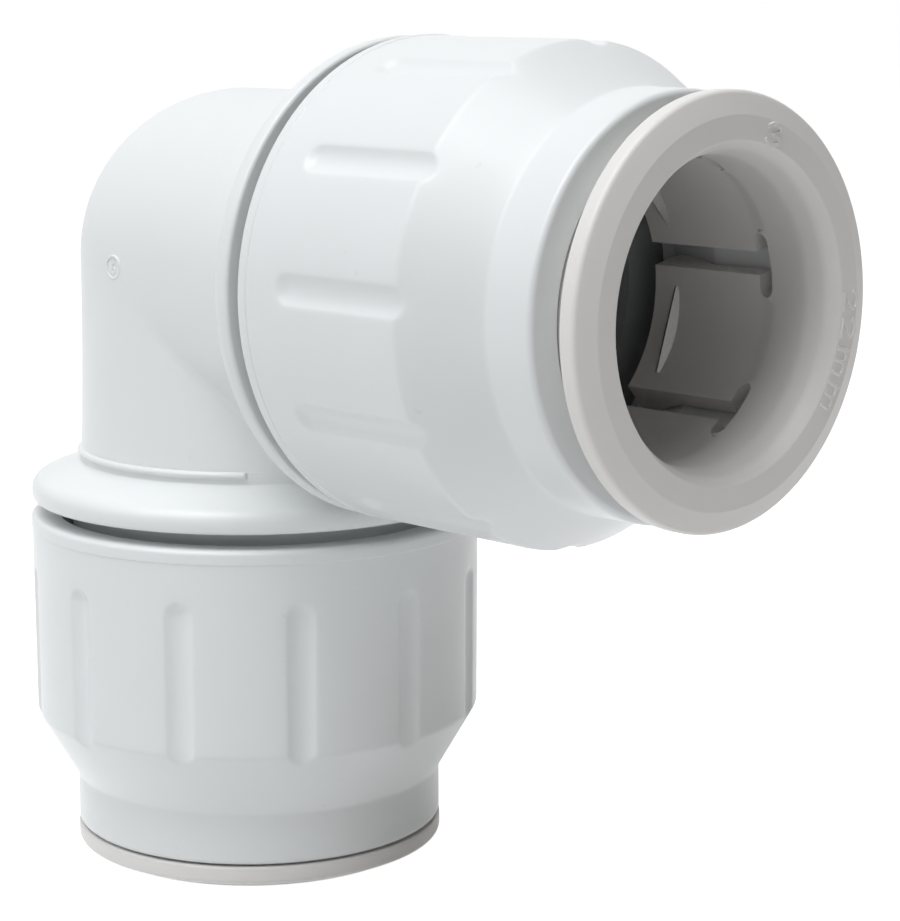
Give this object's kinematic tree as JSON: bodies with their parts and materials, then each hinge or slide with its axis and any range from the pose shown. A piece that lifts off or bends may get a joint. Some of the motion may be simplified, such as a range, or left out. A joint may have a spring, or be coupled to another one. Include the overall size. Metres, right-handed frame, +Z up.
{
  "type": "push to connect elbow fitting",
  "caption": "Push-fit right-angle pipe elbow; fluted twist-to-lock screw caps close toothed collets and back up a seal ring around each pipe.",
  "frame": {"origin": "crossing of the two port axes, inside the elbow", "axes": "+X outwards along the side port, -Z outwards along the lower port, +Z up as it stands on the lower port"},
  "size_m": [0.0722, 0.0382, 0.0696],
  "materials": {
    "body_plastic": "white moulded polymer, soft gloss",
    "cap_plastic": "white moulded polymer, soft gloss",
    "collet_plastic": "white acetal, soft gloss",
    "spacer_plastic": "white moulded polymer",
    "rubber": "black EPDM rubber",
    "steel": "bright stainless strip"
  },
  "bodies": {
    "elbow": {"elbow_body": "body_plastic", "side_seal_ring": "rubber", "lower_seal_ring": "rubber"},
    "side_spacer": {"side_spacer_ring": "spacer_plastic"},
    "side_cap": {"side_screw_cap": "cap_plastic"},
    "side_grip": {"side_collet": "collet_plastic", "side_grip_tooth_1": "steel", "side_grip_tooth_2": "steel", "side_grip_tooth_3": "steel", "side_grip_tooth_4": "steel", "side_grip_tooth_5": "steel", "side_grip_tooth_6": "steel"},
    "lower_spacer": {"lower_spacer_ring": "spacer_plastic"},
    "lower_cap": {"lower_screw_cap": "cap_plastic"},
    "lower_grip": {"lower_collet": "collet_plastic", "lower_grip_tooth_1": "steel", "lower_grip_tooth_2": "steel", "lower_grip_tooth_3": "steel", "lower_grip_tooth_4": "steel", "lower_grip_tooth_5": "steel", "lower_grip_tooth_6": "steel"}
  },
  "joints": [
    {"name": "side_cap_feed", "type": "slide", "parent": "elbow", "child": "side_spacer", "axis": [-1, 0, 0], "range_m": [0, 0.00095]},
    {"name": "side_cap_turn", "type": "hinge", "parent": "side_spacer", "child": "side_cap", "pos_m": [0.03, 0, 0], "axis": [-1, 0, 0], "range_deg": [0, 90]},
    {"name": "side_collet_slide", "type": "slide", "parent": "side_spacer", "child": "side_grip", "axis": [-1, 0, 0], "range_m": [0, 0.00253]},
    {"name": "lower_cap_feed", "type": "slide", "parent": "elbow", "child": "lower_spacer", "axis": [0, 0, 1], "range_m": [0, 0.00095]},
    {"name": "lower_cap_turn", "type": "hinge", "parent": "lower_spacer", "child": "lower_cap", "pos_m": [0, 0, -0.03], "axis": [0, 0, 1], "range_deg": [0, 90]},
    {"name": "lower_collet_slide", "type": "slide", "parent": "lower_spacer", "child": "lower_grip", "axis": [0, 0, -1], "range_m": [0, 0.00253]}
  ],
  "couplings": [
    {"joint": "side_cap_feed", "follows": "side_cap_turn", "m_per_rad": 0.0006047},
    {"joint": "lower_cap_feed", "follows": "lower_cap_turn", "m_per_rad": 0.0006047}
  ]
}
